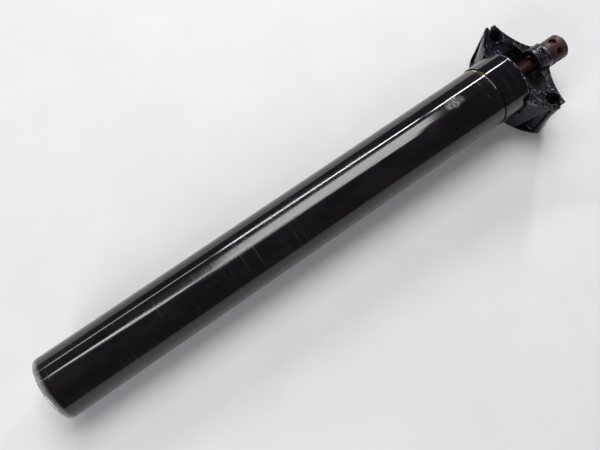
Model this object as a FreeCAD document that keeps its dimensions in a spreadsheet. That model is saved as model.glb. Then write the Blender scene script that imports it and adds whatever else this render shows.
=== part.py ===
import FreeCAD, Part
import Sketcher
import math
import os

# Telescopic suspension seatpost, millimetres.
# Frame: +Z along the post towards the saddle, +X forward, +Y to the left,
# origin on the post's axis in the plane of the foot of the outer tube.
# The shaft is shown fully home, with the head collar down on the bushing flange.

doc = FreeCAD.newDocument("SuspensionSeatpost")
sheet = doc.addObject("Spreadsheet::Sheet", "Spec")

SPEC = [
    # outer tube
    ("tube_radius", 15.8), ("tube_bore_radius", 13.3), ("tube_length", 250.0),
    ("foot_round", 1.3), ("bush_pocket_radius", 14.2), ("bush_pocket_depth", 41.0),
    # guide bushing
    ("bush_outer_radius", 14.15), ("bush_inner_radius", 12.55), ("bush_length", 40.5),
    ("flange_radius", 15.55), ("flange_thick", 0.5),
    ("wiper_pocket_radius", 13.75), ("wiper_height", 4.2), ("wiper_inner_radius", 12.56),
    # guide keys
    ("key_width", 4.0), ("key_length", 18.0), ("key_base", 215.0),
    ("key_inner", 11.1), ("key_outer", 14.05), ("keyway_inner", 10.9),
    ("keyway_base", 175.0), ("keyway_top", 235.0), ("key_play", 0.08),
    # top-out bumper
    ("bumper_outer_radius", 13.15), ("bumper_inner_radius", 12.65),
    ("bumper_base", 203.2), ("bumper_top", 209.3),
    # shaft and head
    ("shaft_radius", 12.5), ("shaft_bore_radius", 10.0), ("shaft_base", 140.0),
    ("shaft_end_radius", 11.5), ("shaft_shoulder", 165.0), ("roof_base", 255.0),
    ("collar_radius", 16.3), ("collar_base", 250.6), ("collar_top", 266.0),
    ("collar_round", 1.2), ("clip_groove_radius", 11.0),
    ("rocker_height", 275.4), ("seat_radius", 12.6),
    # piston collar and clip
    ("piston_radius", 13.24), ("piston_bore_radius", 11.56), ("piston_base", 150.0),
    ("piston_top", 164.9), ("clip_base", 148.0), ("clip_thick", 1.6),
    ("clip_outer_radius", 12.3), ("clip_inner_radius", 11.06),
    # spring stack
    ("upper_seat_flange", 12.2), ("upper_seat_base", 136.4), ("spigot_radius", 7.0),
    ("spring_wire", 1.5), ("spring_mean_radius", 9.6), ("spring_base", 23.0),
    ("spring_top", 136.2), ("spring_turns", 15.0),
    ("stop_radius", 6.4), ("stop_base", 96.0), ("stop_top", 125.8),
    ("lower_seat_base", 15.4), ("lower_seat_thick", 7.5), ("lower_seat_radius", 13.1),
    # preload plug
    ("plug_base", 3.0), ("plug_top", 15.2), ("plug_radius", 13.22),
    ("plug_hex", 8.0), ("plug_hex_depth", 7.0),
    ("ring_height", 10.5), ("ring_wire", 0.95), ("ring_groove_radius", 11.5),
    # clamp bolt
    ("bolt_radius", 4.0), ("bolt_top", 300.2), ("bolt_head_top", 253.3),
    ("bolt_head_height", 5.6), ("bolt_head_flats", 13.0), ("bolt_hole_radius", 4.08),
    ("bolt_washer_radius", 8.4), ("bolt_washer_thick", 1.55),
    # rail clamps
    ("rail_radius", 3.55), ("rail_y", 22.0), ("clamp_half_length", 14.4),
    ("clamp_setback", 8.0), ("clamp_half_width", 28.4), ("upper_half_width", 27.4),
    ("lower_lip_z", 274.7), ("upper_lip_z", 276.1),
    ("waist_radius", 115.0), ("waist_depth", 0.9), ("end_radius", 160.0), ("end_depth", 2.4),
    ("slot_half_length", 7.4), ("slot_half_width", 4.35),
    ("boss_half_width", 6.6), ("boss_front", 10.4), ("boss_base", 280.9),
    ("hub_rocker_radius", 15.3), ("crown_base", 285.2), ("cheek_gap", 16.8), ("arm_base", 270.2),
    ("pocket_wall", 5.1), ("tilt_room", 3.9),
    # nut and its rocker washer
    ("nut_radius", 6.6), ("nut_base", 291.75), ("nut_top", 302.3), ("nut_chamfer", 0.9),
    ("nut_bore_radius", 4.06), ("nut_bore_top", 300.7), ("nut_hole_radius", 1.95),
    ("nut_hole_z", 296.4), ("rocker_washer_half", 6.3), ("rocker_washer_top", 291.7),
]
for row, (alias, value) in enumerate(SPEC, start=1):
    sheet.set("A%d" % row, alias.replace("_", " "))
    sheet.set("B%d" % row, repr(value))
    sheet.setAlias("B%d" % row, alias)
doc.recompute()
V = dict(SPEC)


def S(expression):
    """Spreadsheet aliases in an expression, written out with the sheet's name."""
    out, word = "", ""
    for ch in expression + " ":
        if ch.isalnum() or ch == "_":
            word += ch
        else:
            out += ("Spec." + word) if word in V else word
            word = ""
            out += ch
    return out.strip()


def place(obj, x=None, y=None, z=None, rot=None):
    if rot is not None:
        obj.Placement = FreeCAD.Placement(FreeCAD.Vector(0, 0, 0), rot)
    for axis, expr in (("x", x), ("y", y), ("z", z)):
        if expr is not None:
            obj.setExpression("Placement.Base." + axis, S(expr))
    return obj


def cylinder(name, radius, height, x=None, y=None, z=None, rot=None):
    obj = doc.addObject("Part::Cylinder", name)
    obj.setExpression("Radius", S(radius))
    obj.setExpression("Height", S(height))
    return place(obj, x, y, z, rot)


def cone(name, r1, r2, height, z=None):
    obj = doc.addObject("Part::Cone", name)
    obj.setExpression("Radius1", S(r1))
    obj.setExpression("Radius2", S(r2))
    obj.setExpression("Height", S(height))
    return place(obj, z=z)


def box(name, length, width, height, x=None, y=None, z=None, rot=None):
    obj = doc.addObject("Part::Box", name)
    obj.setExpression("Length", S(length))
    obj.setExpression("Width", S(width))
    obj.setExpression("Height", S(height))
    return place(obj, x, y, z, rot)


def cut(name, base, tool):
    obj = doc.addObject("Part::Cut", name)
    obj.Base, obj.Tool = base, tool
    return obj


def fuse(name, items):
    obj = doc.addObject("Part::MultiFuse", name)
    obj.Shapes = items
    return obj


def common(name, items):
    obj = doc.addObject("Part::MultiCommon", name)
    obj.Shapes = items
    return obj


def round_edges(name, base, radius, test):
    """Fillet the edges of base that pass test(edge)."""
    doc.recompute()
    picked = [(i + 1, radius, radius) for i, e in enumerate(base.Shape.Edges) if test(e)]
    if not picked:
        raise RuntimeError("no edges to round on " + name)
    obj = doc.addObject("Part::Fillet", name)
    obj.Base = base
    obj.Edges = picked
    doc.recompute()
    return obj


def bevel_edges(name, base, size, test):
    doc.recompute()
    picked = [(i + 1, size, size) for i, e in enumerate(base.Shape.Edges) if test(e)]
    if not picked:
        raise RuntimeError("no edges to bevel on " + name)
    obj = doc.addObject("Part::Chamfer", name)
    obj.Base = base
    obj.Edges = picked
    doc.recompute()
    return obj


def circle_at(e, z, r, tol=0.05):
    c = e.Curve
    return (isinstance(c, Part.Circle) and abs(c.Center.z - z) < tol
            and abs(c.Radius - r) < tol and abs(abs(c.Axis.z) - 1) < 1e-6)


ALONG_X = FreeCAD.Rotation(FreeCAD.Vector(0, 1, 0), 90)
ALONG_Y = FreeCAD.Rotation(FreeCAD.Vector(1, 0, 0), -90)
NODES = []


def node(obj, label):
    obj.Label = label
    NODES.append(obj)
    return obj


# ---------------------------------------------------------------- outer tube
tube_solid = cylinder("tube_solid", "tube_radius", "tube_length")
tube_rounded = round_edges("tube_rounded", tube_solid, V["foot_round"],
                           lambda e: circle_at(e, 0, V["tube_radius"]))
tube_bore = cylinder("tube_bore", "tube_bore_radius", "tube_length + 2", z="-1")
tube_pocket = cylinder("tube_pocket", "bush_pocket_radius", "bush_pocket_depth + 1",
                       z="tube_length - bush_pocket_depth")
tube_tools = fuse("tube_tools", [tube_bore, tube_pocket])
outer_tube = node(cut("outer_tube_cut", tube_rounded, tube_tools), "outer_tube")

# ------------------------------------------------------- guide bushing, seal
bush_body = cylinder("bush_body", "bush_outer_radius", "bush_length", z="tube_length - bush_length")
bush_flange = cylinder("bush_flange", "flange_radius", "flange_thick", z="tube_length")
bush_solid = fuse("bush_solid", [bush_body, bush_flange])
bush_bore = cylinder("bush_bore", "bush_inner_radius", "bush_length + 4", z="tube_length - bush_length - 1")
bush_wiper = cylinder("bush_wiper", "wiper_pocket_radius", "wiper_height + 2",
                      z="tube_length + flange_thick - wiper_height")
bush_slots = []
for i in range(3):
    slot = box("bush_slot_%d" % i, "8", "key_width + key_play", "key_length + key_play")
    holder = slot
    angle = 60 + 120 * i
    slot.Placement = FreeCAD.Placement(
        FreeCAD.Rotation(FreeCAD.Vector(0, 0, 1), angle).multVec(
            FreeCAD.Vector(11.5, -(V["key_width"] + V["key_play"]) / 2, V["key_base"] - V["key_play"] / 2)),
        FreeCAD.Rotation(FreeCAD.Vector(0, 0, 1), angle))
    bush_slots.append(slot)
bush_tools = fuse("bush_tools", [bush_bore, bush_wiper] + bush_slots)
guide_bushing = node(cut("guide_bushing_cut", bush_solid, bush_tools), "guide_bushing")

wiper_solid = cylinder("wiper_solid", "wiper_pocket_radius - 0.04", "wiper_height - 0.2",
                       z="tube_length + flange_thick - wiper_height + 0.05")
wiper_hole = cylinder("wiper_hole", "wiper_inner_radius", "wiper_height + 2",
                      z="tube_length + flange_thick - wiper_height - 1")
node(cut("wiper_cut", wiper_solid, wiper_hole), "wiper_seal")

# ---------------------------------------------------------------- guide keys
key_bars = []
for i in range(3):
    bar = box("key_bar_%d" % i, "key_outer - key_inner", "key_width", "key_length")
    angle = 60 + 120 * i
    bar.Placement = FreeCAD.Placement(
        FreeCAD.Rotation(FreeCAD.Vector(0, 0, 1), angle).multVec(
            FreeCAD.Vector(V["key_inner"], -V["key_width"] / 2, V["key_base"])),
        FreeCAD.Rotation(FreeCAD.Vector(0, 0, 1), angle))
    key_bars.append(bar)
node(fuse("guide_keys_group", key_bars), "guide_keys")

# ------------------------------------------------------------ top-out bumper
bumper_solid = cylinder("bumper_solid", "bumper_outer_radius", "bumper_top - bumper_base", z="bumper_base")
bumper_hole = cylinder("bumper_hole", "bumper_inner_radius", "bumper_top - bumper_base + 2", z="bumper_base - 1")
node(cut("bumper_cut", bumper_solid, bumper_hole), "top_out_bumper")

# ------------------------------------------------------------ shaft and head
shaft_main = cylinder("shaft_main", "shaft_radius", "collar_top - shaft_shoulder - 2", z="shaft_shoulder")
shaft_end = cylinder("shaft_end", "shaft_end_radius", "shaft_shoulder - shaft_base + 1", z="shaft_base")
collar_raw = cylinder("collar_raw", "collar_radius", "collar_top - collar_base", z="collar_base")
collar_block = round_edges("collar_block", collar_raw, V["collar_round"],
                           lambda e: circle_at(e, V["collar_top"], V["collar_radius"]))
shaft_solid = fuse("shaft_solid", [shaft_main, shaft_end, collar_block])
shaft_bore = cylinder("shaft_bore", "shaft_bore_radius", "roof_base - shaft_base + 1", z="shaft_base - 1")
seat_drum = cylinder("seat_drum", "seat_radius", "60", y="-30", z="rocker_height", rot=ALONG_Y)
bolt_hole = cylinder("bolt_hole", "bolt_hole_radius", "30", z="roof_base - 5")
clip_groove_disc = cylinder("clip_groove_disc", "shaft_radius + 3", "clip_thick + 0.2", z="clip_base - 0.1")
clip_groove_core = cylinder("clip_groove_core", "clip_groove_radius", "clip_thick + 2", z="clip_base - 1")
clip_groove = cut("clip_groove", clip_groove_disc, clip_groove_core)
keyways = []
for i in range(3):
    way = box("keyway_%d" % i, "4", "key_width + 2 * key_play", "keyway_top - keyway_base")
    angle = 60 + 120 * i
    way.Placement = FreeCAD.Placement(
        FreeCAD.Rotation(FreeCAD.Vector(0, 0, 1), angle).multVec(
            FreeCAD.Vector(V["keyway_inner"], -(V["key_width"] + 2 * V["key_play"]) / 2, V["keyway_base"])),
        FreeCAD.Rotation(FreeCAD.Vector(0, 0, 1), angle))
    keyways.append(way)
shaft_tools = fuse("shaft_tools", [shaft_bore, seat_drum, bolt_hole, clip_groove] + keyways)
shaft_cut = cut("shaft_cut", shaft_solid, shaft_tools)
doc.recompute()
node(shaft_cut, "inner_shaft")

# ---------------------------------------------- piston collar and its clip
piston_solid = cylinder("piston_solid", "piston_radius", "piston_top - piston_base", z="piston_base")
piston_hole = cylinder("piston_hole", "piston_bore_radius", "piston_top - piston_base + 2", z="piston_base - 1")
piston_cut = cut("piston_cut", piston_solid, piston_hole)
node(bevel_edges("piston_bevel", piston_cut, 0.5, lambda e: isinstance(e.Curve, Part.Circle)
                 and abs(e.Curve.Radius - V["piston_radius"]) < 0.01), "piston_collar")
clip_solid = cylinder("clip_solid", "clip_outer_radius", "clip_thick", z="clip_base")
clip_hole = cylinder("clip_hole", "clip_inner_radius", "clip_thick + 2", z="clip_base - 1")
clip_gap = box("clip_gap", "8", "6", "6", x="8", y="-3", z="clip_base - 2")
clip_tools = fuse("clip_tools", [clip_hole, clip_gap])
node(cut("clip_cut", clip_solid, clip_tools), "piston_clip")

# -------------------------------------------------------------- spring stack
seat_flange = cylinder("seat_flange", "upper_seat_flange", "shaft_base - upper_seat_base - 0.05", z="upper_seat_base")
seat_plug = cylinder("seat_plug", "shaft_bore_radius - 0.04", "8", z="upper_seat_base + 3")
seat_spigot = cylinder("seat_spigot", "spigot_radius", "upper_seat_base - stop_top", z="stop_top + 0.05")
node(fuse("upper_seat", [seat_flange, seat_plug, seat_spigot]), "upper_spring_seat")

stop_body = cylinder("stop_body", "stop_radius", "stop_top - stop_base", z="stop_base")
stop_ring_a = doc.addObject("Part::Torus", "stop_ring_a")
stop_ring_a.setExpression("Radius1", S("stop_radius + 0.4"))
stop_ring_a.Radius2 = 1.4
place(stop_ring_a, z="stop_base + 10")
stop_ring_b = doc.addObject("Part::Torus", "stop_ring_b")
stop_ring_b.setExpression("Radius1", S("stop_radius + 0.4"))
stop_ring_b.Radius2 = 1.4
place(stop_ring_b, z="stop_base + 20")
stop_rings = fuse("stop_rings", [stop_ring_a, stop_ring_b])
node(cut("stop_cut", stop_body, stop_rings), "bump_stop")

helix = doc.addObject("Part::Helix", "spring_helix")
helix.setExpression("Radius", S("spring_mean_radius"))
helix.setExpression("Height", S("spring_top - spring_base - 2 * spring_wire - 0.2"))
helix.setExpression("Pitch", S("(spring_top - spring_base - 2 * spring_wire - 0.2) / spring_turns"))
place(helix, z="spring_base + spring_wire + 0.1")
wire_section = doc.addObject("Part::Circle", "spring_section")
wire_section.setExpression("Radius", S("spring_wire"))
wire_section.Placement = FreeCAD.Placement(
    FreeCAD.Vector(V["spring_mean_radius"], 0, V["spring_base"] + V["spring_wire"] + 0.1),
    FreeCAD.Rotation(FreeCAD.Vector(1, 0, 0), 90))
spring = doc.addObject("Part::Sweep", "spring_sweep")
spring.Sections = [wire_section]
spring.Spine = (helix, [])
spring.Solid = True
spring.Frenet = True
node(spring, "coil_spring")

low_disc = cylinder("low_disc", "lower_seat_radius", "lower_seat_thick", z="lower_seat_base")
low_spigot = cylinder("low_spigot", "spigot_radius", "lower_seat_thick + 9", z="lower_seat_base")
node(fuse("low_seat", [low_disc, low_spigot]), "lower_spring_seat")

# -------------------------------------------------------------- preload plug
plug_solid = cylinder("plug_solid", "plug_radius", "plug_top - plug_base", z="plug_base")
plug_bevel = bevel_edges("plug_bevel", plug_solid, 0.6, lambda e: circle_at(e, V["plug_base"], V["plug_radius"]))
hex_prism = doc.addObject("Part::Prism", "plug_hex_socket")
hex_prism.Polygon = 6
hex_prism.setExpression("Circumradius", S("plug_hex / 2 / cos(30)"))
hex_prism.setExpression("Height", S("plug_hex_depth + 1"))
place(hex_prism, z="plug_base - 1")
ring_tool = doc.addObject("Part::Torus", "ring_groove_tool")
ring_tool.setExpression("Radius1", S("plug_radius - 0.92"))
ring_tool.setExpression("Radius2", S("ring_wire + 0.08"))
place(ring_tool, z="ring_height")
plug_tools = fuse("plug_tools", [hex_prism, ring_tool])
node(cut("plug_cut", plug_bevel, plug_tools), "preload_plug")
o_ring = doc.addObject("Part::Torus", "o_ring_torus")
o_ring.setExpression("Radius1", S("plug_radius - 0.92"))
o_ring.setExpression("Radius2", S("ring_wire"))
place(o_ring, z="ring_height")
node(o_ring, "plug_o_ring")

# ---------------------------------------------------------------- clamp bolt
bolt_shank = cylinder("bolt_shank", "bolt_radius", "bolt_top - bolt_head_top", z="bolt_head_top")
bolt_tip = bevel_edges("bolt_tip", bolt_shank, 0.7, lambda e: circle_at(e, V["bolt_top"], V["bolt_radius"]))
bolt_head = doc.addObject("Part::Prism", "bolt_head")
bolt_head.Polygon = 6
bolt_head.setExpression("Circumradius", S("bolt_head_flats / 2 / cos(30)"))
bolt_head.setExpression("Height", S("bolt_head_height"))
place(bolt_head, z="bolt_head_top - bolt_head_height")
node(fuse("bolt_fuse", [bolt_tip, bolt_head]), "clamp_bolt")
bw_disc = cylinder("bw_disc", "bolt_washer_radius", "bolt_washer_thick", z="bolt_head_top + 0.05")
bw_hole = cylinder("bw_hole", "bolt_hole_radius + 0.15", "bolt_washer_thick + 2", z="bolt_head_top - 1")
node(cut("bw_cut", bw_disc, bw_hole), "bolt_washer")


# ------------------------------------------------------ sketched clamp blocks
def origin_plane(body, role):
    for feature in body.Origin.OriginFeatures:
        if feature.Role == role:
            return feature
    raise RuntimeError("no plane " + role)


def padded_profile(name, points, length_expr):
    """A closed profile in the YZ plane, padded both ways along X.

    points: list of ("line" | "arc", (y expr, z expr)[, (y, z) of the arc's middle]);
    the profile's first half is mirrored about the Z axis by the caller's points.
    """
    body = doc.addObject("PartDesign::Body", name + "_body")
    sketch = body.newObject("Sketcher::SketchObject", name + "_sketch")
    sketch.AttachmentSupport = [(origin_plane(body, "YZ_Plane"), "")]
    sketch.MapMode = "FlatFace"
    numbers = []
    for kind, (ye, ze), mid in points:
        numbers.append((kind, value_of(ye), value_of(ze), ye, ze, mid))
    n = len(numbers)
    for i in range(n):
        kind, y0, z0 = numbers[i][0], numbers[i][1], numbers[i][2]
        y1, z1 = numbers[(i + 1) % n][1], numbers[(i + 1) % n][2]
        p0, p1 = FreeCAD.Vector(y0, z0, 0), FreeCAD.Vector(y1, z1, 0)
        if kind == "arc":
            my, mz = numbers[i][5]
            # arcs are drawn anticlockwise, whichever way the profile runs
            turn = (my - y0) * (z1 - mz) - (mz - z0) * (y1 - my)
            a, b = (p0, p1) if turn > 0 else (p1, p0)
            sketch.addGeometry(Part.Arc(a, FreeCAD.Vector(my, mz, 0), b), False)
        else:
            sketch.addGeometry(Part.LineSegment(p0, p1), False)
    # which end of each edge lies on its first corner, and each arc's radius
    first, second, radii = [], [], []
    for i in range(n):
        geo = sketch.Geometry[i]
        flipped = isinstance(geo, Part.ArcOfCircle) and (
            abs(geo.StartPoint.x - numbers[i][1]) > 1e-4 or abs(geo.StartPoint.y - numbers[i][2]) > 1e-4)
        first.append(2 if flipped else 1)
        second.append(1 if flipped else 2)
        radii.append(geo.Radius if isinstance(geo, Part.ArcOfCircle) else None)
    constraints, bound = [], []
    for i in range(n):
        j = (i + 1) % n
        constraints.append(Sketcher.Constraint("Coincident", i, second[i], j, first[j]))
    # each corner is held from the origin by two sizes bound to the sheet
    for i in range(n):
        for kind, value, expr in (("DistanceX", numbers[i][1], numbers[i][3]),
                                  ("DistanceY", numbers[i][2], numbers[i][4])):
            if abs(value) < 1e-9:
                constraints.append(Sketcher.Constraint("PointOnObject", i, first[i], -2))
                continue
            if value < 0:
                constraints.append(Sketcher.Constraint(kind, i, first[i], -1, 1, -value))
                expr = "-(%s)" % expr
            else:
                constraints.append(Sketcher.Constraint(kind, -1, 1, i, first[i], value))
            bound.append((len(constraints) - 1, expr))
    for i in range(n):
        if radii[i]:
            constraints.append(Sketcher.Constraint("Radius", i, radii[i]))
    sketch.addConstraint(constraints)
    for index, expr in bound:
        sketch.setExpression("Constraints[%d]" % index, S(expr))
    outcome = sketch.solve()
    if outcome != 0:
        print(name, "sketch solve", outcome, sketch.ConflictingConstraints, sketch.RedundantConstraints)
    pad = body.newObject("PartDesign::Pad", name + "_pad")
    pad.Profile = sketch
    pad.setExpression("Length", S(length_expr))
    pad.Midplane = True
    doc.recompute()
    return body


def value_of(expr):
    """The number an expression of sheet aliases stands for, by simple sums only."""
    total, sign, token = 0.0, 1.0, ""
    for ch in expr.replace(" ", "") + "+":
        if ch in "+-":
            if token:
                total += sign * (V[token] if token in V else float(token))
                sign = 1.0
            if ch == "-":
                sign = -1.0 if not token or sign > 0 else 1.0
            token = ""
        else:
            token += ch
    return total


def mirrored_points(right):
    """right: profile corners from the Z axis round to the Z axis, y >= 0.
    Each entry is (y expr, z expr, middle of the arc to the next corner or None)."""
    pts = []
    for k, (ye, ze, mid) in enumerate(right[:-1]):
        pts.append(("arc" if mid else "line", (ye, ze), mid))
    last = right[-1]
    pts.append(("line", (last[0], last[1]), None))
    # back along the mirrored side
    left = []
    for k in range(len(right) - 2, 0, -1):
        ye, ze, _ = right[k]
        mid_prev = right[k - 1][2]
        neg = negative(ye)
        left.append(("arc" if mid_prev else "line", (neg, ze),
                     (-mid_prev[0], mid_prev[1]) if mid_prev else None))
    # the segment from the last centre corner to the first left corner
    mid_last = right[-2][2]
    pts[-1] = ("arc" if mid_last else "line", (last[0], last[1]),
               (-mid_last[0], mid_last[1]) if mid_last else None)
    return pts + left


def negative(expr):
    """-(a + b - c) written out as simple sums."""
    e = expr.replace(" ", "")
    if not e.startswith("-"):
        e = "+" + e
    return e.replace("+", "#").replace("-", "+").replace("#", "-").lstrip("+")



# lower clamp: a web over the rocker seat, two cheeks beside the collar and the
# rail channels, drooping wings outside; the blocks sit behind the bolt
lower_right = [
    ("0", "260.4", None),
    ("12.6", "261.2", (19.4, 264.4)),
    ("24.7", "268.9", (26.9, 271.2)),
    ("clamp_half_width", "273.5", None),
    ("clamp_half_width", "lower_lip_z", None),
    ("17.4", "lower_lip_z", (12.6, 271.8)),
    ("8.2", "268.0", None),
    ("0", "268.0", None),
]
lower_block = padded_profile("lower", mirrored_points(lower_right), "2 * clamp_half_length")
lower_block.setExpression("Placement.Base.x", S("-clamp_setback"))

# upper clamp: an arch between the rail channels with a hub on top
upper_right = [
    ("0", "boss_base", None),
    ("6.6", "boss_base", (12.6, 279.8)),
    ("17.0", "upper_lip_z", None),
    ("upper_half_width", "upper_lip_z", None),
    ("upper_half_width", "278.6", (17.0, 281.6)),
    ("9.0", "285.6", (7.2, 287.5)),
    ("boss_half_width", "290.0", None),
    ("boss_half_width", "292.2", None),
    ("0", "292.2", None),
]
upper_block = padded_profile("upper", mirrored_points(upper_right), "2 * clamp_half_length")
upper_block.setExpression("Placement.Base.x", S("-clamp_setback"))


def star_tools(prefix, half_width):
    """Four tall drums that draw the block's sides in between its corners."""
    tools = []
    for sign, tag in ((1, "l"), (-1, "r")):
        tools.append(cylinder(prefix + "_waist_" + tag, "waist_radius", "60",
                              x="-clamp_setback",
                              y="%d * (%s + waist_radius - waist_depth)" % (sign, half_width), z="250"))
    for sign, tag in ((1, "f"), (-1, "b")):
        tools.append(cylinder(prefix + "_end_" + tag, "end_radius", "60",
                              x="%d * (clamp_half_length + end_radius - end_depth) - clamp_setback" % sign, z="250"))
    return tools


def rail_tools(prefix):
    return [cylinder(prefix + "_rail_" + tag, "rail_radius", "80", x="-40",
                     y="%d * rail_y" % sign, z="rocker_height", rot=ALONG_X)
            for sign, tag in ((1, "l"), (-1, "r"))]


def slot_tool(prefix, z0):
    """Obround slot for the bolt, long way front to back."""
    a = cylinder(prefix + "_slot_f", "slot_half_width", "40", x="slot_half_length - slot_half_width", z=z0)
    b = cylinder(prefix + "_slot_b", "slot_half_width", "40", x="-(slot_half_length - slot_half_width)", z=z0)
    c = box(prefix + "_slot_m", "2 * (slot_half_length - slot_half_width)", "2 * slot_half_width", "40",
            x="-(slot_half_length - slot_half_width)", y="-slot_half_width", z=z0)
    return fuse(prefix + "_slot", [a, b, c])


# material over the collar is kept only inside the rocker drum or well above the collar
over_strip = box("over_strip", "90", "2 * cheek_gap", "40", x="-45", y="-cheek_gap", z="arm_base - 40")
over_reach = cylinder("over_reach", "collar_radius + tilt_room", "41", z="arm_base - 41")
over_collar = common("over_collar", [over_strip, over_reach])
rocker_drum = cylinder("rocker_drum", "seat_radius - 0.05", "60", y="-30", z="rocker_height", rot=ALONG_Y)
under_cut = cut("under_cut", over_collar, rocker_drum)
# front half of the rocker drum, ahead of the rail channels
front_web = box("front_web", "10", "2 * 13.4", "268.0 - 262.0", x="0", y="-13.4", z="262.0")


def pocket_prism(name, sign):
    """Hollow under a wing, wide at the back and narrowing to the front corner."""
    pts = [(-20.6, 18.4), (-20.6, 26.5), (4.4, 26.5), (4.4, 25.6), (-20.6, 18.4)]
    feature = doc.addObject("Part::Feature", name + "_prism")
    face = Part.Face(Part.makePolygon([FreeCAD.Vector(px, py * sign, 255.0) for px, py in pts]))
    feature.Shape = face.extrude(FreeCAD.Vector(0, 0, V["lower_lip_z"] - 1.6 - 255.0))
    core = cylinder(name + "_core", "pocket_wall", "80", x="-40", y="%d * rail_y" % sign,
                    z="rocker_height", rot=ALONG_X)
    return cut(name, feature, core)


pockets = [pocket_prism("wing_pocket_left", 1), pocket_prism("wing_pocket_right", -1)]
# the drums that shape the block's ends must spare the front web
lower_cut_block = cut("lower_cut_block", lower_block,
                      fuse("lower_block_tools", rail_tools("lower") + star_tools("lower", "clamp_half_width") + pockets))
lower_joined = fuse("lower_joined", [lower_cut_block, front_web])
lower_cut = cut("lower_cut", lower_joined, fuse("lower_last_tools", [under_cut, slot_tool("lower", "255")]))
node(lower_cut, "lower_clamp")

hub_drum = cylinder("hub_drum", "hub_rocker_radius", "60", y="-30", z="rocker_height", rot=ALONG_Y)
boss_block = box("boss_block", "boss_front - boss_half_width + 6", "2 * boss_half_width", "292.2 - boss_base",
                 x="-6", y="-boss_half_width", z="boss_base")
boss_nose = cylinder("boss_nose", "boss_half_width", "292.2 - boss_base",
                     x="boss_front - boss_half_width", z="boss_base")
upper_cut_block = cut("upper_cut_block", upper_block,
                      fuse("upper_block_tools", rail_tools("upper") + star_tools("upper", "upper_half_width")))
upper_joined = fuse("upper_joined", [upper_cut_block, boss_block, boss_nose])
crown_box = box("crown_box", "90", "80", "40", x="-45", y="-40", z="crown_base")
crown_tool = cut("crown_tool", crown_box, hub_drum)
upper_cut = cut("upper_cut", upper_joined, fuse("upper_last_tools", [slot_tool("upper", "270"), crown_tool]))
node(upper_cut, "upper_clamp")

# -------------------------------------------------------- rocker washer, nut
rw_block = cylinder("rw_block", "rocker_washer_half", "8", z="rocker_washer_top - 8")
rw_drum = cylinder("rw_drum", "hub_rocker_radius + 0.06", "60", y="-30", z="rocker_height", rot=ALONG_Y)
rw_hole = cylinder("rw_hole", "bolt_hole_radius + 0.12", "20", z="rocker_washer_top - 14")
rw_tools = fuse("rw_tools", [rw_drum, rw_hole])
node(cut("rw_cut", rw_block, rw_tools), "rocker_washer")

nut_solid = cylinder("nut_solid", "nut_radius", "nut_top - nut_base", z="nut_base")
nut_bevel = bevel_edges("nut_bevel", nut_solid, V["nut_chamfer"],
                        lambda e: circle_at(e, V["nut_top"], V["nut_radius"]))
nut_bore = cylinder("nut_bore", "nut_bore_radius", "nut_bore_top - nut_base + 1", z="nut_base - 1")
nut_holes = []
for i in range(6):
    h = cylinder("nut_hole_%d" % i, "nut_hole_radius", "nut_radius - 2.2")
    angle = math.radians(36.5 + 60 * i)
    direction = FreeCAD.Vector(math.cos(angle), math.sin(angle), 0)
    h.Placement = FreeCAD.Placement(
        FreeCAD.Vector(direction.x * 4.8, direction.y * 4.8, V["nut_hole_z"]),
        FreeCAD.Rotation(FreeCAD.Vector(0, 0, 1), direction))
    nut_holes.append(h)
nut_tools = fuse("nut_tools", [nut_bore] + nut_holes)
node(cut("nut_cut", nut_bevel, nut_tools), "capstan_nut")

doc.recompute()

bad = [o.Name for o in doc.Objects if "Invalid" in o.State or "Error" in o.State]
if bad:
    raise RuntimeError("failed objects: " + ", ".join(bad))
os.makedirs("parts", exist_ok=True)
for obj in NODES:
    shape = obj.Shape
    if shape.isNull() or not shape.isValid() or shape.Volume <= 0:
        raise RuntimeError("bad shape: " + obj.Label)
for obj in NODES:
    shape = obj.Shape
    bb = shape.BoundBox
    print("%-18s solids %d  volume %9.1f  x %.2f..%.2f  y %.2f..%.2f  z %.2f..%.2f" % (
        obj.Label, len(shape.Solids), shape.Volume, bb.XMin, bb.XMax, bb.YMin, bb.YMax, bb.ZMin, bb.ZMax))
    shape.exportStep("parts/%s.step" % obj.Label)
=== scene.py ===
import bpy
import bmesh
import math
from mathutils import Matrix, Vector


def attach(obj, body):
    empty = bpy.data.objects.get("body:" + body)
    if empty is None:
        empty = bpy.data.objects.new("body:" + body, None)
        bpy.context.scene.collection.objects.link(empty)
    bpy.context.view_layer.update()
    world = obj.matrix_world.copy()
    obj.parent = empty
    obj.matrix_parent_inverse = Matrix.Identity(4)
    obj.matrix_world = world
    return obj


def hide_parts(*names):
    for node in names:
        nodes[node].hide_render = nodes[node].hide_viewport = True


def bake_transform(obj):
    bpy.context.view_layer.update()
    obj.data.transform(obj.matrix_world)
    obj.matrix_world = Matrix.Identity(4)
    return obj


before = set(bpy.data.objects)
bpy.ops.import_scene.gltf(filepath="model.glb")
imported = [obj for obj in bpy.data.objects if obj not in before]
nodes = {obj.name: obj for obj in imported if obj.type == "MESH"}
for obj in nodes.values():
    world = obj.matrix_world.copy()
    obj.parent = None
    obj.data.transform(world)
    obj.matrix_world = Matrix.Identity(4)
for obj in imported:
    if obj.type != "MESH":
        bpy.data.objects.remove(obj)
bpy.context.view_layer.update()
MM = 0.001
scene = bpy.context.scene
scene.view_settings.view_transform = "Standard"
scene.view_settings.look = "None"


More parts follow.
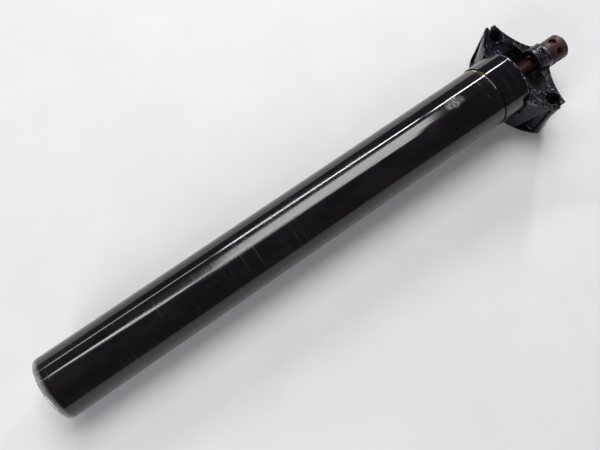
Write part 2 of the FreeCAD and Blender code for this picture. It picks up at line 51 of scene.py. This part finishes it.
# ------------------------------------------------------------------ node trees
class Mat:
    """A material with small helpers for wiring its nodes."""

    def __init__(self, name):
        self.m = bpy.data.materials.new(name)
        self.m.use_nodes = True
        self.t = self.m.node_tree
        self.b = self.t.nodes["Principled BSDF"]
        self._co = None
        self._xyz = None

    def node(self, kind, **props):
        n = self.t.nodes.new(kind)
        for k, v in props.items():
            setattr(n, k, v)
        return n

    def put(self, socket, value):
        if isinstance(value, bpy.types.NodeSocket):
            self.t.links.new(value, socket)
        elif isinstance(value, (tuple, list)) and socket.type == "RGBA" and len(value) == 3:
            socket.default_value = (*value, 1)
        else:
            socket.default_value = value

    def co(self):
        if self._co is None:
            self._co = self.node("ShaderNodeTexCoord").outputs["Object"]
        return self._co

    def xyz(self):
        if self._xyz is None:
            s = self.node("ShaderNodeSeparateXYZ")
            self.t.links.new(self.co(), s.inputs[0])
            self._xyz = s.outputs
        return self._xyz

    def math(self, op, a, b=0.0, c=None, clamp=False):
        n = self.node("ShaderNodeMath", operation=op, use_clamp=clamp)
        self.put(n.inputs[0], a)
        self.put(n.inputs[1], b)
        if c is not None:
            self.put(n.inputs[2], c)
        return n.outputs[0]

    def mul(self, *xs):
        r = xs[0]
        for x in xs[1:]:
            r = self.math("MULTIPLY", r, x)
        return r

    def add(self, *xs):
        r = xs[0]
        for x in xs[1:]:
            r = self.math("ADD", r, x)
        return r

    def noise(self, scale, detail=3.0, rough=0.55, distort=0.0):
        """Noise over object coordinates; scale may be one number or three, per metre."""
        mp = self.node("ShaderNodeMapping")
        self.t.links.new(self.co(), mp.inputs["Vector"])
        mp.inputs["Scale"].default_value = scale if isinstance(scale, tuple) else (scale, scale, scale)
        n = self.node("ShaderNodeTexNoise")
        self.t.links.new(mp.outputs[0], n.inputs["Vector"])
        n.inputs["Scale"].default_value = 1.0
        n.inputs["Detail"].default_value = detail
        n.inputs["Roughness"].default_value = rough
        n.inputs["Distortion"].default_value = distort
        return n.outputs["Fac"] if "Fac" in n.outputs else n.outputs[0]

    def cells(self, scale):
        n = self.node("ShaderNodeTexVoronoi")
        self.t.links.new(self.co(), n.inputs["Vector"])
        n.inputs["Scale"].default_value = scale
        return n.outputs["Distance"]

    def ramp(self, x, lo, hi, out_lo=0.0, out_hi=1.0, smooth=True):
        n = self.node("ShaderNodeMapRange")
        if smooth:
            n.interpolation_type = "SMOOTHSTEP"
        self.put(n.inputs["Value"], x)
        n.inputs["From Min"].default_value = lo
        n.inputs["From Max"].default_value = hi
        n.inputs["To Min"].default_value = out_lo
        n.inputs["To Max"].default_value = out_hi
        return n.outputs["Result"]

    def mix(self, fac, a, b):
        n = self.node("ShaderNodeMix", data_type="RGBA")
        self.put(n.inputs[0], fac)
        self.put(n.inputs[6], a)
        self.put(n.inputs[7], b)
        return n.outputs[2]

    def edge(self, lo=0.52, hi=0.6):
        g = self.node("ShaderNodeNewGeometry")
        return self.ramp(g.outputs["Pointiness"], lo, hi)

    def azimuth(self):
        x = self.xyz()
        return self.math("ARCTAN2", x[1], x[0])

    def band(self, value, lo, hi, soft):
        """1 between lo and hi with soft shoulders."""
        up = self.ramp(value, lo - soft, lo + soft)
        down = self.ramp(value, hi - soft, hi + soft, 1.0, 0.0)
        return self.mul(up, down)

    def blob(self, centre, radii, wobble=None):
        """1 at centre falling to 0 at the ellipsoid of those radii, in metres."""
        x = self.xyz()
        total = None
        for i in range(3):
            d = self.math("SUBTRACT", x[i], centre[i])
            d = self.math("DIVIDE", d, radii[i])
            d = self.math("MULTIPLY", d, d)
            total = d if total is None else self.math("ADD", total, d)
        if wobble is not None:
            total = self.math("ADD", total, wobble)
        return self.ramp(total, 0.15, 1.0, 1.0, 0.0)

    def bump(self, height, distance, strength=1.0, normal=None):
        n = self.node("ShaderNodeBump")
        n.inputs["Strength"].default_value = strength
        n.inputs["Distance"].default_value = distance
        self.t.links.new(height, n.inputs["Height"])
        if normal is not None:
            self.t.links.new(normal, n.inputs["Normal"])
        return n.outputs["Normal"]

    def done(self, color=None, rough=None, metal=None, normal=None):
        if color is not None:
            self.put(self.b.inputs["Base Color"], color)
        if rough is not None:
            self.put(self.b.inputs["Roughness"], rough)
        if metal is not None:
            self.put(self.b.inputs["Metallic"], metal)
        if normal is not None:
            self.t.links.new(normal, self.b.inputs["Normal"])
        return self.m


# ------------------------------------------------------------- gloss black tube
def gloss_black_tube():
    k = Mat("gloss_black_tube")
    x, y, z = k.xyz()[0], k.xyz()[1], k.xyz()[2]
    az = k.azimuth()
    fine = k.noise((60, 60, 4200), 2.0)
    hoops = k.noise((25, 25, 1500), 3.0, 0.6)
    patches = k.noise((45, 45, 22), 3.0, 0.6)
    speck = k.noise(900, 2.0, 0.6)
    # broad handling scuff along the front, between the two ends
    long_way = k.band(z, 0.070, 0.205, 0.045)
    round_way = k.band(az, -0.27, 0.05, 0.06)
    upper_way = k.mul(k.band(az, -0.47, -0.30, 0.05), k.band(z, 0.105, 0.180, 0.030))
    upper_way = k.mul(upper_way, k.ramp(k.noise((70, 70, 500), 3.0, 0.6), 0.35, 0.62, 0.25, 0.8))
    scuff = k.mul(long_way, round_way)
    scuff = k.math("MAXIMUM", k.mul(scuff, k.ramp(hoops, 0.30, 0.62, 0.45, 1.0)), upper_way)
    scratches = k.mul(k.ramp(hoops, 0.60, 0.68), k.ramp(patches, 0.42, 0.60))
    # rubbed spot near the top, and a faint ring where a clamp once bit
    rub = k.blob((15.6 * MM, -2.2 * MM, 228.4 * MM), (4.2 * MM, 3.9 * MM, 7.0 * MM),
                 k.ramp(k.noise(500, 4.0, 0.7), 0.3, 0.7, -0.15, 0.25))
    rub = k.mul(rub, k.ramp(k.noise((500, 500, 1600), 3.0), 0.35, 0.6, 0.25, 1.0))
    wob = k.math("MULTIPLY", k.math("SUBTRACT", k.noise(120, 2.0), 0.5), 0.0012)
    ring = k.band(k.math("ADD", z, wob), 244.1 * MM, 244.35 * MM, 0.10 * MM)
    ring = k.mul(ring, k.band(az, -0.35, 0.30, 0.25), k.ramp(k.noise(520, 2.0), 0.46, 0.64, 0.0, 0.6))
    # chips through the paint at the mouth: brass coloured on one arc, bare metal on the next
    gold = k.mul(k.ramp(k.math("ADD", z, wob), 249.05 * MM, 249.25 * MM), k.band(az, -0.88, -0.34, 0.05))
    bare = k.mul(k.ramp(z, 249.35 * MM, 249.5 * MM), k.band(az, -0.22, 0.22, 0.05),
                 k.ramp(k.noise(620, 2.0), 0.47, 0.58))
    # Painted highlight: a light grey band round the rounded foot rim, which is also made rougher there
    painted_foot_rim_sheen = k.mul(k.ramp(z, 0.6 * MM, 3.6 * MM, 1.0, 0.0), k.ramp(k.noise(300, 3.0), 0.3, 0.7, 0.6, 1.0))
    tint = k.mix(k.ramp(k.noise((110, 110, 40), 4.0, 0.65), 0.36, 0.66), (0.0028, 0.0022, 0.0034), (0.0076, 0.0056, 0.0078))
    col = k.mix(k.math("MULTIPLY", scratches, 0.5), tint, (0.030, 0.029, 0.035))
    col = k.mix(k.math("MULTIPLY", scuff, 0.35), col, (0.045, 0.044, 0.047))
    col = k.mix(k.math("MULTIPLY", painted_foot_rim_sheen, 0.80), col, (0.36, 0.36, 0.38))
    col = k.mix(k.math("MULTIPLY", k.mul(rub, rub), 0.36), col, (0.26, 0.25, 0.26))
    col = k.mix(k.math("MULTIPLY", ring, 0.5), col, (0.34, 0.30, 0.32))
    col = k.mix(gold, col, (0.62, 0.43, 0.20))
    col = k.mix(bare, col, (0.80, 0.80, 0.82))
    rough = k.ramp(patches, 0.3, 0.7, 0.055, 0.10)
    rough = k.add(rough, k.math("MULTIPLY", scuff, 0.10), k.math("MULTIPLY", scratches, 0.07),
                  k.math("MULTIPLY", rub, 0.16), k.math("MULTIPLY", painted_foot_rim_sheen, 0.22))
    metal = k.math("MAXIMUM", gold, bare)
    h = k.add(k.math("MULTIPLY", fine, 0.35), k.math("MULTIPLY", hoops, 0.8), k.math("MULTIPLY", speck, 0.12))
    nrm = k.bump(h, 0.0000045)
    nrm = k.bump(k.math("MULTIPLY", k.math("ADD", ring, k.math("MULTIPLY", rub, 0.3)), -1.0), 0.00004, 0.6, nrm)
    k.b.inputs["IOR"].default_value = 1.52
    return k.done(col, rough, metal, nrm)


def gloss_black_head():
    """Painted head above the seam, ground shaft below it."""
    k = Mat("gloss_black_head")
    z = k.xyz()[2]
    hoops = k.noise((30, 30, 1900), 3.0, 0.6)
    patches = k.noise(90, 3.0, 0.6)
    painted = k.ramp(z, 250.2 * MM, 250.5 * MM, smooth=False)
    edge = k.band(z, 264.7 * MM, 265.9 * MM, 0.5 * MM)
    chips = k.mul(edge, k.ramp(k.noise(650, 4.0, 0.7), 0.56, 0.66))
    paint = k.mix(k.math("MULTIPLY", k.ramp(hoops, 0.6, 0.7), 0.4), (0.0036, 0.0028, 0.0042), (0.035, 0.034, 0.040))
    paint = k.mix(chips, paint, (0.30, 0.30, 0.32))
    ground = k.mix(k.ramp(hoops, 0.35, 0.65), (0.35, 0.35, 0.37), (0.40, 0.40, 0.43))
    col = k.mix(painted, ground, paint)
    rough_paint = k.ramp(patches, 0.3, 0.7, 0.045, 0.085)
    rough_steel = k.ramp(hoops, 0.3, 0.7, 0.22, 0.36)
    rough = k.add(k.mul(painted, rough_paint), k.mul(k.math("SUBTRACT", 1.0, painted), rough_steel),
                  k.math("MULTIPLY", chips, 0.2))
    nrm = k.bump(hoops, 0.000002)
    k.b.inputs["IOR"].default_value = 1.52
    return k.done(col, rough, k.math("SUBTRACT", 1.0, painted), nrm)


def cast_black(name, tint, light):
    """Forged clamp: satin black over a slightly pebbled skin, rubbed bright on its edges, with painted shade round
    the bolt under the hub.
    """
    k = Mat(name)
    grain = k.noise(3200, 3.0, 0.6)
    pebble = k.noise(750, 4.0, 0.6)
    flow = k.noise(130, 4.0, 0.65, 0.6)
    worn = k.mul(k.edge(0.515, 0.60), k.ramp(flow, 0.36, 0.60, 0.25, 1.0))
    col = k.mix(k.ramp(flow, 0.3, 0.7), tint, light)
    col = k.mix(k.math("MULTIPLY", worn, 0.5), col, (0.12, 0.115, 0.135))
    dusty = k.ramp(k.noise(420, 4.0, 0.7), 0.56, 0.70)
    col = k.mix(k.math("MULTIPLY", dusty, 0.12), col, (0.12, 0.115, 0.125))
    rough = k.add(k.ramp(pebble, 0.3, 0.7, 0.06, 0.14), k.math("MULTIPLY", dusty, 0.14),
                  k.math("MULTIPLY", worn, -0.05))
    x = k.xyz()
    r = k.math("SQRT", k.math("ADD", k.mul(x[0], x[0]), k.mul(x[1], x[1])))
    # Painted shade: near-black and rougher round the bolt below the hub, where the arch shades it
    painted_hub_shade = k.mul(k.ramp(r, 8.5 * MM, 12.5 * MM, 1.0, 0.0), k.ramp(x[2], 281.0 * MM, 286.0 * MM, 1.0, 0.0))
    col = k.mix(k.math("MULTIPLY", painted_hub_shade, 0.7), col, (0.0012, 0.0009, 0.0016))
    rough = k.add(rough, k.math("MULTIPLY", painted_hub_shade, 0.34))
    nrm = k.bump(k.add(k.math("MULTIPLY", pebble, 1.0), k.math("MULTIPLY", grain, 0.16)), 0.00012, 0.7)
    nrm = k.bump(flow, 0.0016, 0.6, nrm)
    k.b.inputs["IOR"].default_value = 1.45
    k.b.inputs["Specular IOR Level"].default_value = 0.27
    return k.done(col, rough, 0.0, nrm)


def brown_nut():
    k = Mat("brown_nut")
    z = k.xyz()[2]
    mottle = k.noise(520, 4.0, 0.65)
    turning = k.noise((40, 40, 5200), 2.0)
    worn = k.edge(0.51, 0.58)
    col = k.mix(k.ramp(mottle, 0.32, 0.68), (0.021, 0.0068, 0.0062), (0.043, 0.0155, 0.0135))
    col = k.mix(k.math("MULTIPLY", worn, 0.7), col, (0.11, 0.055, 0.048))
    top = k.ramp(z, 301.2 * MM, 302.2 * MM)
    col = k.mix(k.math("MULTIPLY", top, 0.4), col, (0.075, 0.038, 0.034))
    r = k.math("SQRT", k.math("ADD", k.mul(k.xyz()[0], k.xyz()[0]), k.mul(k.xyz()[1], k.xyz()[1])))
    # Painted shade: darker red-brown inside the bore, below its top
    painted_bore_shade = k.ramp(r, 5.9 * MM, 6.35 * MM, 1.0, 0.0)
    painted_bore_shade = k.mul(painted_bore_shade, k.ramp(z, 301.0 * MM, 301.6 * MM, 1.0, 0.0))
    col = k.mix(k.math("MULTIPLY", painted_bore_shade, 0.85), col, (0.016, 0.004, 0.004))
    rough = k.ramp(mottle, 0.3, 0.7, 0.34, 0.52)
    nrm = k.bump(k.add(mottle, k.math("MULTIPLY", turning, 0.5)), 0.00005)
    k.b.inputs["Specular IOR Level"].default_value = 0.3
    return k.done(col, rough, 0.15, nrm)


def brown_bolt():
    k = Mat("brown_bolt")
    x = k.xyz()
    mottle = k.noise(800, 4.0, 0.65)
    r = k.math("SQRT", k.math("ADD", k.mul(x[0], x[0]), k.mul(x[1], x[1])))
    crest = k.ramp(r, 3.70 * MM, 3.98 * MM)
    col = k.mix(k.ramp(mottle, 0.3, 0.7), (0.018, 0.005, 0.005), (0.045, 0.014, 0.013))
    col = k.mix(k.math("MULTIPLY", crest, 0.5), col, (0.13, 0.055, 0.05))
    rough = k.ramp(mottle, 0.3, 0.7, 0.28, 0.45)
    return k.done(col, rough, 0.6, k.bump(mottle, 0.00004))


def metal(name, dark, light, lo, hi, pattern=(35, 35, 2600), depth=0.000008, metallic=1.0):
    """Turned, drawn or stamped metal: directional lines, blotches, and tarnish."""
    k = Mat(name)
    lines = k.noise(pattern, 3.0, 0.6)
    blotch = k.noise(260, 4.0, 0.6)
    col = k.mix(k.ramp(lines, 0.3, 0.7), dark, light)
    col = k.mix(k.ramp(blotch, 0.52, 0.75, 0.0, 0.45), col, tuple(c * 0.45 for c in dark))
    rough = k.add(k.ramp(lines, 0.3, 0.7, lo, hi), k.ramp(blotch, 0.5, 0.75, 0.0, 0.12))
    return k.done(col, rough, metallic, k.bump(k.add(lines, k.math("MULTIPLY", blotch, 0.4)), depth))


def soft(name, dark, light, lo, hi, cell=None, depth=0.00002):
    """Moulded rubber or plastic: pebbled skin with lighter bloom."""
    k = Mat(name)
    skin = k.noise(2400, 3.0, 0.6)
    bloom = k.noise(210, 4.0, 0.65)
    height = skin
    if cell:
        c = k.cells(cell)
        height = k.add(k.math("MULTIPLY", c, 1.0), k.math("MULTIPLY", skin, 0.3))
    col = k.mix(k.ramp(bloom, 0.35, 0.7), dark, light)
    rough = k.ramp(skin, 0.3, 0.7, lo, hi)
    return k.done(col, rough, 0.0, k.bump(height, depth))


def bushing_bronze():
    """Turned bronze whose lip at the mouth is painted dark as shade, all but one arc left bare bronze."""
    k = Mat("turned_bronze")
    z = k.xyz()[2]
    lines = k.noise((35, 35, 2600), 3.0, 0.6)
    blotch = k.noise(260, 4.0, 0.6)
    # Painted shade: the lip in the seam gap is near-black, non-metallic and rougher, except on one arc
    painted_lip_shade = k.mul(k.ramp(z, 249.0 * MM, 249.3 * MM),
                k.math("SUBTRACT", 1.0, k.band(k.azimuth(), -0.90, -0.34, 0.05)))
    col = k.mix(k.ramp(lines, 0.3, 0.7), (0.52, 0.35, 0.13), (0.66, 0.48, 0.22))
    col = k.mix(k.ramp(blotch, 0.52, 0.75, 0.0, 0.4), col, (0.24, 0.15, 0.06))
    col = k.mix(painted_lip_shade, col, (0.010, 0.009, 0.011))
    rough = k.add(k.ramp(lines, 0.3, 0.7, 0.22, 0.38), k.math("MULTIPLY", painted_lip_shade, 0.2))
    return k.done(col, rough, k.math("SUBTRACT", 1.0, painted_lip_shade), k.bump(lines, 0.000008))


FINISH = {
    "outer_tube": gloss_black_tube(),
    "inner_shaft": gloss_black_head(),
    "guide_bushing": bushing_bronze(),
    "guide_keys": metal("drawn_brass", (0.56, 0.41, 0.17), (0.70, 0.54, 0.26), 0.20, 0.34, (900, 900, 30)),
    "wiper_seal": soft("seal_rubber", (0.012, 0.012, 0.013), (0.030, 0.030, 0.031), 0.48, 0.66),
    "top_out_bumper": soft("bumper_rubber", (0.020, 0.020, 0.021), (0.045, 0.044, 0.043), 0.58, 0.78, 1500, 0.00006),
    "piston_collar": soft("acetal", (0.70, 0.68, 0.60), (0.83, 0.81, 0.73), 0.34, 0.50),
    "piston_clip": metal("spring_steel_clip", (0.24, 0.24, 0.26), (0.38, 0.38, 0.40), 0.26, 0.42, (1400, 1400, 400)),
    "upper_spring_seat": soft("moulded_seat_upper", (0.035, 0.035, 0.037), (0.075, 0.075, 0.078), 0.40, 0.58),
    "lower_spring_seat": soft("moulded_seat_lower", (0.035, 0.035, 0.037), (0.075, 0.075, 0.078), 0.40, 0.58),
    "bump_stop": soft("cellular_elastomer", (0.46, 0.37, 0.08), (0.68, 0.58, 0.18), 0.66, 0.86, 1300, 0.00012),
    "coil_spring": metal("spring_wire", (0.26, 0.27, 0.30), (0.46, 0.47, 0.50), 0.24, 0.42, (700, 700, 700)),
    "preload_plug": metal("turned_alloy_plug", (0.46, 0.47, 0.50), (0.62, 0.63, 0.66), 0.22, 0.38),
    "plug_o_ring": soft("o_ring_rubber", (0.008, 0.008, 0.008), (0.022, 0.022, 0.022), 0.40, 0.56),
    "bolt_washer": metal("stamped_washer", (0.40, 0.40, 0.42), (0.58, 0.58, 0.60), 0.26, 0.44, (1200, 1200, 1200)),
    "rocker_washer": metal("blackened_washer", (0.030, 0.026, 0.034), (0.070, 0.062, 0.075), 0.26, 0.44,
                           (1000, 1000, 1000), 0.00002, 0.5),
    "lower_clamp": cast_black("cast_black_lower", (0.0030, 0.0022, 0.0046), (0.0085, 0.0070, 0.0120)),
    "upper_clamp": cast_black("cast_black_upper", (0.0036, 0.0027, 0.0056), (0.0110, 0.0092, 0.0150)),
    "clamp_bolt": brown_bolt(),
    "capstan_nut": brown_nut(),
}
for name, obj in nodes.items():
    m = FINISH[name]
    if obj.data.materials:
        for i in range(len(obj.data.materials)):
            obj.data.materials[i] = m
    else:
        obj.data.materials.append(m)


# ------------------------------------------------------------- detailed pieces
def link(obj):
    scene.collection.objects.link(obj)
    return obj


def cast_copy(node, name, voxel, smooth, body):
    """The CAD piece with its sharp edges melted into small radii, like a forging."""
    mesh = nodes[node].data.copy()
    mesh.name = name
    bm = bmesh.new()
    bm.from_mesh(mesh)
    bmesh.ops.remove_doubles(bm, verts=bm.verts, dist=2e-6)
    for f in bm.faces:
        f.smooth = True
    bm.to_mesh(mesh)
    bm.free()
    tmp = link(bpy.data.objects.new(name + "_source", mesh))
    r = tmp.modifiers.new("remesh", "REMESH")
    r.mode = "VOXEL"
    r.voxel_size = voxel
    r.adaptivity = 0.0
    r.use_smooth_shade = True
    s = tmp.modifiers.new("smooth", "SMOOTH")
    s.factor = 0.5
    s.iterations = smooth
    bpy.context.view_layer.update()
    dg = bpy.context.evaluated_depsgraph_get()
    out = bpy.data.meshes.new_from_object(tmp.evaluated_get(dg))
    bpy.data.objects.remove(tmp)
    out.name = name
    out.materials.clear()
    out.materials.append(FINISH[node])
    for p in out.polygons:
        p.use_smooth = True
    obj = link(bpy.data.objects.new(name, out))
    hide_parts(node)
    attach(obj, body)
    return obj


def threaded_bolt():
    """Hex head, plain neck and rolled thread in one skin of rings."""
    seg = 72
    pitch, crest, root = 1.25, 3.995, 3.30
    head_lo, head_hi, tip = 247.7, 253.3, 300.2
    flats = 6.5

    def hex_radius(a):
        return flats / math.cos((a + math.pi / 6) % (math.pi / 3) - math.pi / 6)

    zs = []
    z = head_lo
    rings = []
    for z, cap in ((247.7, 6.2), (248.0, 6.9), (248.5, 7.7), (252.9, 7.7), (253.3, 6.9)):
        rings.append((z, [min(hex_radius(2 * math.pi * i / seg), cap) for i in range(seg)]))
    rings.append((253.3, [4.0] * seg))
    rings.append((256.0, [3.99] * seg))
    z = 256.2
    while z < tip - 0.0001:
        ring = []
        for i in range(seg):
            a = 2 * math.pi * i / seg
            t = ((z / pitch) - a / (2 * math.pi)) % 1.0
            tri = 1 - abs(2 * t - 1)
            depth = min(max((tri - 0.10) / 0.78, 0.0), 1.0)
            r = root + (crest - root) * depth
            fade = min(1.0, max(0.0, (z - 256.2) / 1.6))
            r = 3.99 * (1 - fade) + r * fade
            if z > tip - 1.0:
                r = min(r, crest - (z - (tip - 1.0)) * 0.75)
            ring.append(r)
        rings.append((z, ring))
        z += 0.105
    rings.append((tip, [3.15] * seg))
    verts, faces = [], []
    for z, ring in rings:
        for i, r in enumerate(ring):
            a = 2 * math.pi * i / seg
            verts.append((r * math.cos(a) * MM, r * math.sin(a) * MM, z * MM))
    n = len(rings)
    for j in range(n - 1):
        for i in range(seg):
            k = (i + 1) % seg
            faces.append((j * seg + i, j * seg + k, (j + 1) * seg + k, (j + 1) * seg + i))
    faces.append(tuple(reversed(range(seg))))
    faces.append(tuple((n - 1) * seg + i for i in range(seg)))
    mesh = bpy.data.meshes.new("threaded_clamp_bolt")
    mesh.from_pydata(verts, [], faces)
    mesh.materials.append(FINISH["clamp_bolt"])
    for p in mesh.polygons:
        p.use_smooth = len(p.vertices) == 4
    obj = link(bpy.data.objects.new("threaded_clamp_bolt", mesh))
    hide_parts("clamp_bolt")
    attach(obj, "shaft")
    return obj


def wound_spring():
    """The coil as one smooth-shaded mesh copied from the CAD piece, which it hides."""
    mesh = nodes["coil_spring"].data.copy()
    mesh.name = "wound_coil_spring"
    mesh.transform(nodes["coil_spring"].matrix_world)
    mesh.materials.clear()
    mesh.materials.append(FINISH["coil_spring"])
    for p in mesh.polygons:
        p.use_smooth = True
    obj = link(bpy.data.objects.new("wound_coil_spring", mesh))
    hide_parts("coil_spring")
    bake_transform(obj)
    return obj


cast_copy("lower_clamp", "forged_lower_clamp", 0.00028, 4, "cradle")
cast_copy("upper_clamp", "forged_upper_clamp", 0.00028, 4, "bridge")
cast_copy("capstan_nut", "turned_capstan_nut", 0.00015, 3, "nut")
threaded_bolt()
wound_spring()

# ------------------------------------------------------------------ the floor
TILT = 0.0255
floor_mesh = bpy.data.meshes.new("floor")
size = 1.8
bm = bmesh.new()
quads = 24
for i in range(quads + 1):
    for j in range(quads + 1):
        yy = -size + 2 * size * i / quads
        zz = -size + 2 * size * j / quads
        bm.verts.new((-0.0159 - TILT * zz, yy, zz))
bm.verts.ensure_lookup_table()
for i in range(quads):
    for j in range(quads):
        a = i * (quads + 1) + j
        bm.faces.new((bm.verts[a], bm.verts[a + quads + 1], bm.verts[a + quads + 2], bm.verts[a + 1]))
bm.normal_update()
bm.to_mesh(floor_mesh)
bm.free()
floor = link(bpy.data.objects.new("floor", floor_mesh))
fm = Mat("pale_floor")
paper = fm.noise(28, 3.0)
fibre = fm.noise(900, 2.0)
fcol = fm.mix(fm.ramp(paper, 0.3, 0.7), (0.545, 0.547, 0.560), (0.566, 0.568, 0.581))
fm.done(fcol, 0.85, 0.0, fm.bump(fibre, 0.00002, 0.4))
fm.b.inputs["Specular IOR Level"].default_value = 0.2
geo = fm.node("ShaderNodeNewGeometry")
clear = fm.node("ShaderNodeBsdfTransparent")
choose = fm.node("ShaderNodeMixShader")
out = fm.t.nodes["Material Output"]
fm.t.links.new(geo.outputs["Backfacing"], choose.inputs[0])
fm.t.links.new(fm.b.outputs[0], choose.inputs[1])
fm.t.links.new(clear.outputs[0], choose.inputs[2])
fm.t.links.new(choose.outputs[0], out.inputs["Surface"])
floor_mesh.materials.append(fm.m)

# -------------------------------------------------------------------- lights
world = bpy.data.worlds.new("soft_room")
scene.world = world
world.use_nodes = True
bg = world.node_tree.nodes["Background"]
bg.inputs[0].default_value = (0.93, 0.95, 1.0, 1)
bg.inputs[1].default_value = 0.085


def softbox(name, centre, target, width, length, along, radiance, color=(1, 1, 1)):
    """Area light at centre facing target, its long side along that direction; millimetres."""
    data = bpy.data.lights.new(name, "AREA")
    data.shape = "RECTANGLE"
    data.size = width * MM
    data.size_y = length * MM
    data.energy = radiance * math.pi * (width * MM) * (length * MM)
    data.color = color
    obj = link(bpy.data.objects.new(name, data))
    c, t = Vector(centre) * MM, Vector(target) * MM
    back = (c - t).normalized()
    up = Vector(along).normalized()
    up = (up - back * up.dot(back)).normalized()
    right = up.cross(back)
    obj.matrix_world = Matrix((
        (right.x, up.x, back.x, c.x),
        (right.y, up.y, back.y, c.y),
        (right.z, up.z, back.z, c.z),
        (0, 0, 0, 1)))
    return obj


softbox("broad_window", (1052, -420, 394), (0, 0, 150), 700, 598, (-82, 72, 527), 8.6, (1.0, 0.985, 0.965))
softbox("narrow_strip_low", (526, -1061, -135), (0, 0, 110), 50, 439, (96, -13, 429), 8.0, (0.98, 0.99, 1.0))
softbox("narrow_strip_high", (615, -970, 395), (0, 0, 110), 56, 580, (60, 170, 560), 36.0, (0.98, 0.99, 1.0))
softbox("narrow_strip_top", (652, -843, 809), (0, 0, 200), 54, 192, (-41, 59, 179), 42.0, (0.98, 0.99, 1.0))
softbox("second_strip", (1084, -437, -13), (0, 0, 110), 64, 747, (160, 289, 671), 12.5, (1.0, 0.99, 0.98))
softbox("spark_left", (250, -420, 780), (0, 0, 280), 62, 210, (1, 0, 0), 58.0, (0.95, 0.96, 1.0))
softbox("spark_right", (420, 260, 900), (0, 0, 280), 60, 60, (0, 1, 0), 40.0, (0.96, 0.96, 1.0))
softbox("fill_foot", (360, 400, -780), (0, 100, 60), 460, 560, (0, 1, 0), 11.5, (0.97, 0.98, 1.0))

# -------------------------------------------------------------------- camera
cam = bpy.data.cameras.new("camera")
cam.lens = 36.0
cam.sensor_width = 36.0
cam.clip_start = 0.01
cam.clip_end = 20.0
camera = link(bpy.data.objects.new("camera", cam))
R = (-0.01223, 0.57595, 0.8174)
U = (0.27777, -0.78333, 0.5561)
F = (-0.96057, -0.23385, 0.15040)
P = (0.278166, 0.069039, 0.091098)
camera.matrix_world = Matrix((
    (R[0], U[0], -F[0], P[0]),
    (R[1], U[1], -F[1], P[1]),
    (R[2], U[2], -F[2], P[2]),
    (0, 0, 0, 1)))
scene.camera = camera

bpy.context.view_layer.update()
